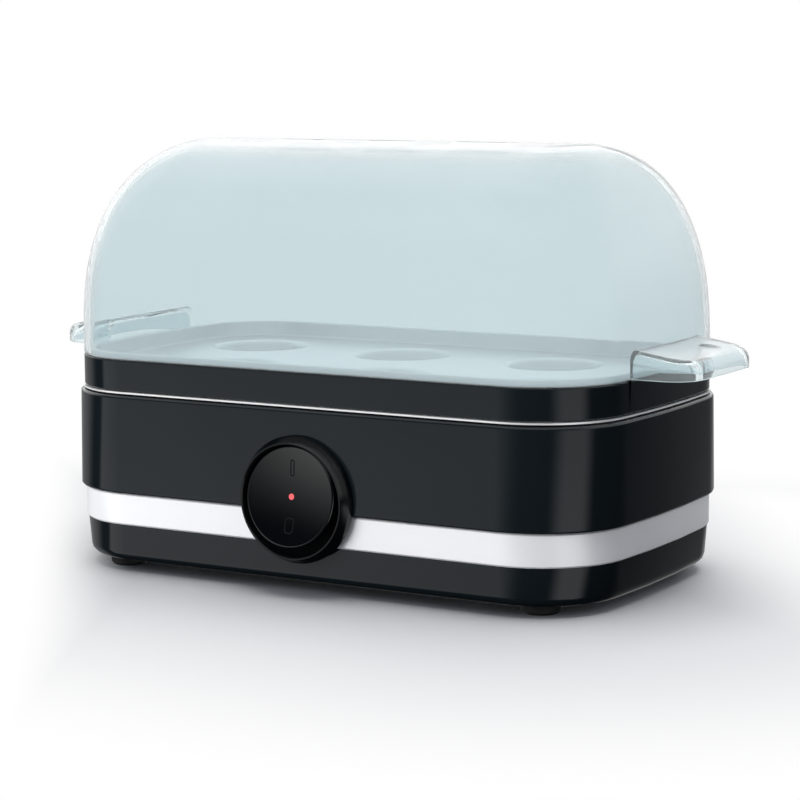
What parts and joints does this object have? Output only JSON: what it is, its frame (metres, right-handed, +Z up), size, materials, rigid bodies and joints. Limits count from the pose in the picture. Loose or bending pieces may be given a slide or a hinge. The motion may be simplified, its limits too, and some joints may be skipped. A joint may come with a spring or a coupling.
{
  "type": "egg cooker",
  "caption": "Electric egg cooker: moulded body with a white trim band and a round rocker switch, steel heating basin, lift-out egg tray, and a clear domed lid with a handle at each end.",
  "frame": {"origin": "on the table under the middle of the object", "axes": "+X along the body's length, +Z up, the switch faces -Y and the cord outlet faces +Y"},
  "size_m": [0.227, 0.1244, 0.1339],
  "materials": {
    "feet_rubber": "matte black rubber",
    "bottom_plastic": "matte black moulding",
    "housing_black": "gloss black moulding",
    "trim_white": "gloss white moulding",
    "screw_steel": "zinc-plated steel",
    "basin_steel": "satin stainless steel",
    "cast_aluminium": "as-cast aluminium",
    "element_sheath": "oxidised steel sheath",
    "terminal_brass": "bright brass",
    "shield_steel": "aluminised sheet steel",
    "phenolic": "brown phenolic",
    "fuse_ceramic": "matte ceramic",
    "switch_black": "gloss black moulding",
    "lens_red": "lit red lens",
    "lamp_clear": "clear neon lamp",
    "gland_rubber": "matte black rubber",
    "block_plastic": "natural nylon",
    "lead_insulation": "silicone-insulated leads",
    "tray_black": "gloss black moulding",
    "lid_clear": "clear moulded plastic"
  },
  "bodies": {
    "housing": {"rubber_feet": "feet_rubber", "bottom_plate": "bottom_plastic", "base_housing": "housing_black", "trim_band": "trim_white", "main_housing": "housing_black", "body_screws": "screw_steel", "heating_basin": "basin_steel", "heating_plate": "cast_aluminium", "heating_element": "element_sheath", "element_terminals": "terminal_brass", "heater_studs": "screw_steel", "heat_shield": "shield_steel", "stud_nuts": "screw_steel", "thermostat": "phenolic", "thermostat_bracket": "shield_steel", "bracket_screws": "screw_steel", "thermal_fuse": "fuse_ceramic", "switch_bezel": "switch_black", "switch_body": "bottom_plastic", "switch_terminals": "terminal_brass", "rocker_pin": "screw_steel", "cord_gland": "gland_rubber", "cord_clamp": "bottom_plastic", "clamp_screws": "screw_steel", "terminal_block": "block_plastic", "block_screws": "screw_steel", "internal_leads": "lead_insulation"},
    "tray": {"egg_tray": "tray_black"},
    "hood": {"lid": "lid_clear"},
    "switch_rocker": {"rocker": "switch_black", "indicator_lens": "lens_red", "indicator_lamp": "lamp_clear"}
  },
  "joints": [
    {"name": "tray_lift", "type": "slide", "parent": "housing", "child": "tray", "axis": [0, 0, 1], "range_m": [0, 0.06]},
    {"name": "lid_lift", "type": "slide", "parent": "tray", "child": "hood", "axis": [0, 0, 1], "range_m": [0, 0.08]},
    {"name": "rocker_tilt", "type": "hinge", "parent": "housing", "child": "switch_rocker", "pos_m": [0, -0.0489, 0.0292], "axis": [1, 0, 0], "range_deg": [0, 15]}
  ]
}
